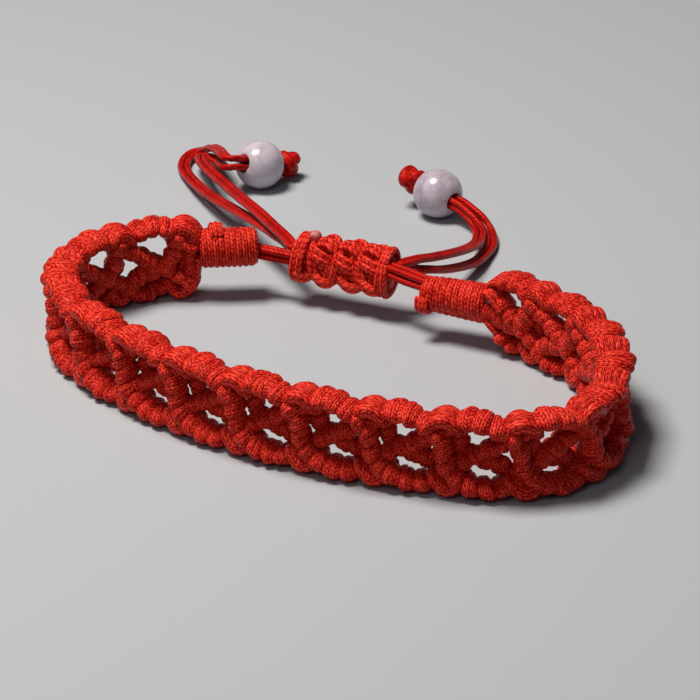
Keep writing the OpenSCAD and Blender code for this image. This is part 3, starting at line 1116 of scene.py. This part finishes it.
    def build(self) -> None:
        """Make the core, the half knots and the sealed cord end.

        The core stays 0.12 mm inside both ends and narrows to 0.8 of its size there over 1.2 mm. The cord
        end is a drop: with t from -1 to 1 its radius is drop_radius root(1 - t squared).
        """
        x = np.linspace(0.12, self.length - 0.12, 40)
        middle = self.placed(np.stack([x, 0 * x, 0 * x], axis=-1))
        up = self.placed(np.array([[0.0, 0.0, 1.0]]))[0] - self.start
        closing = 0.8 + 0.2 * ease(np.minimum(x, self.length - x)[:, None] / 1.2)
        core = sweep(middle, up, closing * oval(self.core[1], self.core[0], 0.2, 8, 48), 48, 8.0)
        patches = [core] + self.crossing_cords() + self.doubled_humps() + self.end_loops()
        build_piece("square_knots", patches, self.cord_finish, ["sliding_knot"])
        t = np.linspace(-0.99, 0.99, 21)
        drop = self.placed(np.array(self.drop_at) + self.drop_half * t[:, None] * unit(self.drop_way))
        sealed = sweep(drop, up, self.drop_radius * np.sqrt(1 - t ** 2), 24)
        build_piece("sealed_cord_end", [sealed], self.end_finish, ["sliding_knot"])


@dataclass
class BeadedEnd:
    """A bead on the end of the tails, with the stop knot behind it."""

    side: str
    at: Array
    mouth: Array
    stone: bpy.types.Material
    cord: bpy.types.Material
    # Diameters of the bead, of its hole and of the stop knot
    bead_d: float = 6.0
    bore_d: float = 2.1
    stop_d: float = 3.3
    # How far the stop knot sits above the line of the hole
    lift: float = 0.0
    # Rounding of the hole's rims
    soft: float = 0.22
    # Stop knot: distance from the bead to its middle, how far its line stays inside its size, and the radii
    # of its cord and of its heart
    knot_gap: float = 1.35
    knot_inset: float = 0.6
    knot_cord: float = 0.8
    heart: float = 1.3

    def axes(self) -> tuple[Array, Array]:
        """Give two directions across the hole, the second a quarter turn on about the mouth."""
        a = unit(np.cross([0.0, 0.0, 1.0], self.mouth))
        return a, np.cross(self.mouth, a)

    def bead(self) -> Patch:
        """Turn the bead on the hole's axis.

        The profile is the sphere's arc from one rim to the other, a small rounding at each rim and the wall
        of the bore, carried round as one ring.

        Returns:
            The surface.
        """
        big, bore, soft = self.bead_d / 2, self.bore_d / 2, self.soft
        rim = math.asin((bore + soft) / big)
        w = np.linspace(rim, math.pi - rim, 56)
        outer = np.stack([big * np.sin(w), big * np.cos(w)], axis=1)
        turn = np.linspace(0.0, math.pi / 2, 6)[1:]
        edge = outer[-1, 1]
        lower = np.stack([bore + soft * (1 - np.sin(turn)), edge + soft * (1 - np.cos(turn))], axis=1)
        wall = np.stack([np.full(10, bore), np.linspace(lower[-1, 1], -lower[-1, 1], 10)], axis=1)[1:]
        upper = (lower * [1, -1])[::-1][1:]
        profile = np.concatenate([outer, lower, wall, upper])
        a, b = self.axes()
        k = 2 * np.pi * np.arange(72) / 72
        around = np.cos(k)[:, None] * a + np.sin(k)[:, None] * b
        points = self.at + profile[:, None, :1] * around + profile[:, None, 1:] * self.mouth
        uv = np.stack(np.meshgrid(np.arange(len(profile) + 1), np.arange(73), indexing="ij"), axis=-1)
        # The profile runs from the mouth down the outside, so the columns are turned the other way
        return Patch(points[:, ::-1], uv.astype(float), Ends.JOINED)

    def stop_knot(self) -> list[Patch]:
        """Tie the stop knot.

        Its line is a trefoil, (sin t + 2 sin 2t, cos t - 2 cos 2t, -1.9 sin 3t), which reaches 3 from its
        middle. It leans 53 degrees from the hole's axis and is drawn tight round a heart of cord.

        Returns:
            The knot's cord and its heart.
        """
        t = np.linspace(0.0, 2 * np.pi, 120, endpoint=False)
        tight = (self.stop_d / 2 - self.knot_inset) / 3
        trefoil = np.stack(
            [np.sin(t) + 2 * np.sin(2 * t), np.cos(t) - 2 * np.cos(2 * t), -1.9 * np.sin(3 * t)], axis=1)
        a, b = self.axes()
        above = unit(np.array([0.0, 0.0, 1.0]) - self.mouth[2] * self.mouth)
        middle = self.at - (self.bead_d / 2 + self.knot_gap) * self.mouth + self.lift * above
        leaning = np.stack([0.6 * a + 0.8 * self.mouth, b, 0.6 * self.mouth - 0.8 * a])
        line = middle + tight * (trefoil @ leaning)
        face = unit(line - middle + 0.001)
        deep = np.linspace(-0.99, 0.99, 17)
        core = middle + self.heart * deep[:, None] * self.mouth
        heart = sweep(core, a, self.heart * np.sqrt(1 - deep ** 2), 24, 6.0)
        profile = oval(self.knot_cord, self.knot_cord, 0.1, 3, 24)
        return [sweep(line, face, profile[None], 24, 3.0, Ends.JOINED), heart]

    def build(self) -> tuple[bpy.types.Object, bpy.types.Object]:
        """Make the bead and the stop knot.

        Returns:
            Both objects.
        """
        bead_node, knot_node = f"{self.side}_bead", f"{self.side}_stop_knot"
        bead = build_piece(f"turned_{bead_node}", [self.bead()], self.stone, [bead_node])
        knot = build_piece(f"tied_{knot_node}", self.stop_knot(), self.cord, [knot_node])
        return bead, knot


@dataclass
class Tail:
    """A pair of strands from the sliding knot, through the bead, to the stop knot."""

    node: str
    route: tuple
    end: BeadedEnd
    pair_side: Array
    finish: bpy.types.Material
    # Size of a strand, half the gap between the two, and the distance between both pairs in the hole
    strand: float = 0.78
    half_gap: float = 0.02
    pair_apart: float = 1.04
    # Distances along the hole at which the pair runs straight, ending in the stop knot
    thread: tuple = (4.0, 3.5, 0.0, -2.9)
    # Distance before the end at which the pair starts to turn across its side, and over what length
    turn_from: float = 14.0
    turn_over: float = 6.0

    def line(self) -> Array:
        """Run a smooth line through the route and then straight through the bead.

        Returns:
            Points 0.3 mm apart.
        """
        aside = self.end.at + self.pair_apart / 2 * self.pair_side
        through = [aside + d * self.end.mouth for d in self.thread]
        return smooth_line(np.concatenate([np.array(self.route, float), through]), 0.3)

    def build(self, bead: bpy.types.Object, knot: bpy.types.Object) -> None:
        """They lie side by side, half a strand each way from the line: level along the table, and turned
        across the pair's side where they enter the bead.

        Args:
            bead: Bead that they go through; not used.
            knot: Stop knot at their end; not used.
        """
        line = self.line()
        walked = arc_lengths(line)
        along = unit(np.gradient(line, axis=0))
        level = unit(np.cross(along, [0.0, 0.0, 1.0]))
        across = unit(np.cross(along, self.pair_side))
        into = ease((walked - walked[-1] + self.turn_from) / self.turn_over)[:, None]
        spread = unit(level * (1 - into) + across * into * np.sign((into * level * across).sum()))
        for name, way in (("a", -1), ("b", 1)):
            path = line + way * (self.strand / 2 + self.half_gap) * spread
            piece = build_piece(f"strand_{self.node}_{name}", [sweep(path, spread, self.strand / 2, 14)],
                                self.finish, [self.node])


@dataclass
class Studio:
    """Plain pale floor, soft light and a camera at the photograph's angle."""

    # Point that the camera looks at, its distance from there in millimetres, and its angles in degrees
    target: tuple[float, float, float] = (-2.8, 9.55, 0.0)
    away: float = 520.0
    azimuth: float = 25.0
    elevation: float = 25.0
    # Focal length in pixels, for an image 700 pixels wide
    focal: float = 4573.0
    image: float = 700.0
    # How far the floor reaches each way, in metres
    floor_reach: float = 1.2

    def camera(self) -> None:
        """Place the camera: it looks at the target from `away`, turned by the azimuth and then raised."""
        lens = bpy.data.cameras.new("camera")
        lens.sensor_width = 36.0
        lens.lens = 36.0 * self.focal / self.image
        lens.clip_start, lens.clip_end = 0.01, 5.0
        made = bpy.data.objects.new("camera", lens)
        turn, up = math.radians(self.azimuth), math.radians(self.elevation)
        back = Vector((math.sin(turn) * math.cos(up), -math.cos(turn) * math.cos(up), math.sin(up)))
        made.location = (Vector(self.target) + self.away * back) * MM
        made.rotation_euler = (math.pi / 2 - up, 0.0, turn)
        bpy.context.scene.collection.objects.link(made)
        bpy.context.scene.camera = made

    def light(self, name: str, place: tuple, size: float, watts: float, colour: str) -> None:
        """Add a square soft light that faces the bracelet.

        Args:
            name: Name of the light.
            place: Its middle, in millimetres.
            size: Its side, in millimetres.
            watts: Its power.
            colour: Its colour as hex.
        """
        lamp = bpy.data.lights.new(name, "AREA")
        lamp.size, lamp.energy, lamp.color = size * MM, watts, linear(colour)[:3]
        made = bpy.data.objects.new(name, lamp)
        made.location = Vector(place) * MM
        made.rotation_euler = (Vector((0.0, 10.0, 3.0)) - Vector(place)).to_track_quat("-Z", "Y").to_euler()
        bpy.context.scene.collection.objects.link(made)

    def floor(self) -> None:
        """Lay the floor of matt pale board."""
        mesh, far = bpy.data.meshes.new("floor"), self.floor_reach
        corners = [(-far, -far, 0), (far, -far, 0), (far, far, 0), (-far, far, 0)]
        mesh.from_pydata(corners, [], [(0, 1, 2, 3)])
        board, _, _ = start_material("matt_pale_board", {"Base Color": linear("A8ADB2"), "Roughness": 0.9})
        mesh.materials.append(board)
        made = bpy.data.objects.new("floor", mesh)
        bpy.context.scene.collection.objects.link(made)

    def build(self) -> None:
        """Set up the floor, the lights, the world and the view's colours."""
        self.floor()
        self.light("key", (-120.0, -30.0, 380.0), 140.0, 2.2, "FFF6EE")
        self.light("fill", (30.0, -330.0, 290.0), 180.0, 0.2, "F4F8FF")
        world = bpy.data.worlds.new("studio")
        world.use_nodes = True
        world.node_tree.nodes["Background"].inputs["Color"].default_value = linear("C8D4E0")
        world.node_tree.nodes["Background"].inputs["Strength"].default_value = 0.07
        bpy.context.scene.world = world
        bpy.context.scene.view_settings.view_transform = "Standard"


# Routes of the tails from the sliding knot to the bead, in millimetres, as in the CAD model
LEFT_UPPER = (
    (-14.85, 20.6, 6.2), (-15.2, 20.6, 6.2), (-16.9, 22.2, 6.3), (-18.5, 23.6, 6.3), (-20.2, 25.3, 6.1),
    (-24, 29.2, 5.6), (-28.6, 33.7, 4.9), (-32.7, 38, 4.2), (-36.5, 42.1, 3.4), (-38.7, 44.7, 2.9),
    (-40.4, 47, 2.4), (-41.5, 48.8, 2), (-41.8, 50, 1.7), (-40.9, 50.1, 1.7), (-39.5, 48.8, 2.1),
    (-38.1, 47.2, 2.6), (-37, 45.7, 3), (-36.1, 44.5, 3.4), (-35.2, 43.9, 3.7))
LEFT_LOWER = (
    (-14.85, 21.4, 5.3), (-15.2, 21.4, 5.3), (-17.9, 23.7, 5.2), (-19.4, 24.8, 5.1), (-21.4, 26.5, 4.9),
    (-24.8, 29.4, 4.3), (-29, 33.1, 3.4), (-33.2, 36.8, 2.5), (-37.6, 41.1, 1.6), (-40.9, 44.7, 1),
    (-43, 47.3, 0.7), (-44.1, 49.4, 0.6), (-44.5, 51.2, 0.7), (-44.3, 52.6, 0.8), (-43.5, 53.1, 1),
    (-42.4, 52.4, 1.7), (-41.1, 51, 2.7), (-39.8, 49.4, 3.4), (-38.4, 47.8, 3.9), (-37.3, 46.3, 4.3),
    (-36.4, 45.1, 4.6), (-35.4, 44.4, 4.7))
RIGHT_UPPER = (
    (-1.9, 20.6, 6.6), (-1.5, 20.6, 6.6), (-0.9, 22.1, 6.4), (-0.5, 23.7, 6.1), (0, 25.9, 5.5),
    (0.5, 28.4, 4.9), (0.8, 31.9, 4), (0.7, 35.3, 3.1), (0.2, 38.5, 2.3), (-0.8, 41.6, 1.6),
    (-1.7, 43.8, 1.3), (-2.8, 45.3, 1.4), (-3.8, 46, 1.9))
RIGHT_LOWER = (
    (-1.9, 21.3, 5.5), (-1.4, 21.3, 5.5), (-1.1, 22.7, 5.2), (-0.4, 23.7, 4.8), (0.3, 25.2, 4.3),
    (0.8, 27.4, 3.5), (1.1, 30, 2.7), (1.3, 32.9, 1.9), (1.4, 35.7, 1.3), (1.1, 38.5, 0.9),
    (0.6, 41.7, 0.6), (-0.2, 43.9, 0.6), (-1.2, 45.6, 0.7), (-2.1, 46.4, 1.1), (-3, 46.9, 1.7))


def main() -> None:
    """Build the bracelet piece by piece."""
    logging.basicConfig(level=logging.INFO, format="%(message)s")
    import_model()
    studio = Studio()
    studio.camera()
    cord, scorched = BraidedCord().material(), ScorchedCordEnd().material()
    quartz = MilkyQuartz().material()
    # Darker cord for the tails, links and stop knots, with its own painted highlight on the crests and
    # painted shade in the grooves
    strand = BraidedCord("smooth_waxed_polyester_strand", crest_highlight="BC1610", slope="9E0B08", groove="600404",
                         relief=0.035, columns=2).material()
    thread = BraidedCord("waxed_binding_thread", columns=2).material()

    ends = {
        "left": BeadedEnd("left", at=np.array([-32.9, 47.9, 3.0]), mouth=unit([-0.42, -0.85, 0.31]),
                          stone=quartz, cord=strand, lift=0.45),
        "right": BeadedEnd("right", at=np.array([-9.4, 48.9, 3.0]), mouth=unit([0.93, -0.34, -0.12]),
                           stone=quartz, cord=strand)}
    pair_sides = {"left": unit([0.17, -0.41, -0.895]), "right": unit([-0.34, -0.93, 0])}
    routes = {"left": (LEFT_UPPER, LEFT_LOWER), "right": (RIGHT_UPPER, RIGHT_LOWER)}
    for side, end in ends.items():
        bead, knot = end.build()
        for level, route, sign in zip(("upper", "lower"), routes[side], (1, -1)):
            Tail(f"{side}_tail_{level}", route, end, sign * pair_sides[side], strand).build(bead, knot)

    plan = WristPlan()
    band = KnottedBand(plan, cord)
    band.build()

    (left, right), _ = plan.at(np.array([0.0, plan.length]))
    left[2], right[2] = band.end_heights
    bindings = [
        Binding("left_binding", left, heading=29.5, length=6.7, cord_d=4.6, knot_at=1.9,
                knot_way=np.array([0.0, 0.0, 1.0]), finish=thread),
        Binding("right_binding", right, heading=180.0, length=8.0, cord_d=4.0, knot_at=7.4,
                knot_way=np.array([0.0, -1.1, -0.6]), finish=thread)]
    for binding in bindings:
        binding.build()

    knot = SlidingKnot(start=np.array([-14.8, 19.75, 5.55]), cord_finish=thread, end_finish=scorched)
    knot.build()
    right_face = knot.start + np.array([knot.length, 0.0, 0.0])
    for name, start, end in (
            ("left_link_cords", bindings[0].inner + [0, 0, -0.6], knot.start + [0, -1, 0.05]),
            ("right_link_cords", bindings[1].inner + [0, 0, 1.1], right_face + [0, -1, 0.9])):
        LinkCords(name, start, end, strand).build()

    studio.build()


if __name__ == "__main__":
    main()
